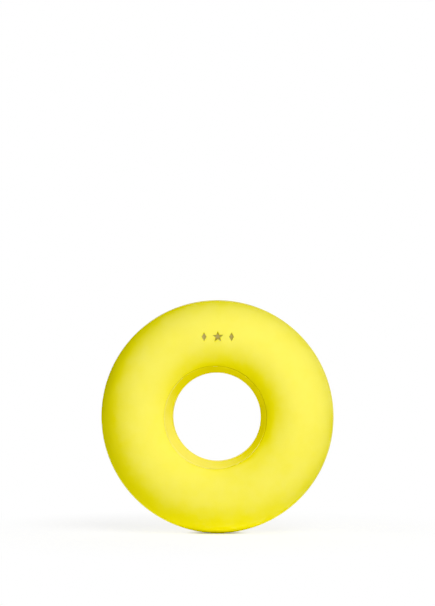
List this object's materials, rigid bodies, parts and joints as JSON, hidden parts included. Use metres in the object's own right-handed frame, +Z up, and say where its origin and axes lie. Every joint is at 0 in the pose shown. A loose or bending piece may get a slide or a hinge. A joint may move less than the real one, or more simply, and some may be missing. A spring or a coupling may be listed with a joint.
{
  "type": "juggling ring",
  "caption": "Stout round-section juggling ring: soft-grip skins over stiff hollow halves, a lined bore and a small sunk star ornament.",
  "frame": {"origin": "centre of the ring, midway along its bore", "axes": "+Y along the ring's axis from the front face, which carries the ornament, to the back face; +Z up as the ring stands on its rim; +X to the right seen from the front"},
  "size_m": [0.12, 0.0372, 0.12],
  "materials": {
    "grip_skin": "satin, soft to the touch",
    "stiff_half": "matte, as moulded",
    "collar": "satin, as moulded",
    "hoop": "matte, as moulded"
  },
  "bodies": {
    "root": {"front_skin": "grip_skin", "back_skin": "grip_skin", "front_shell": "stiff_half", "back_shell": "stiff_half", "bore_collar": "collar", "joint_hoop": "hoop"}
  },
  "joints": []
}
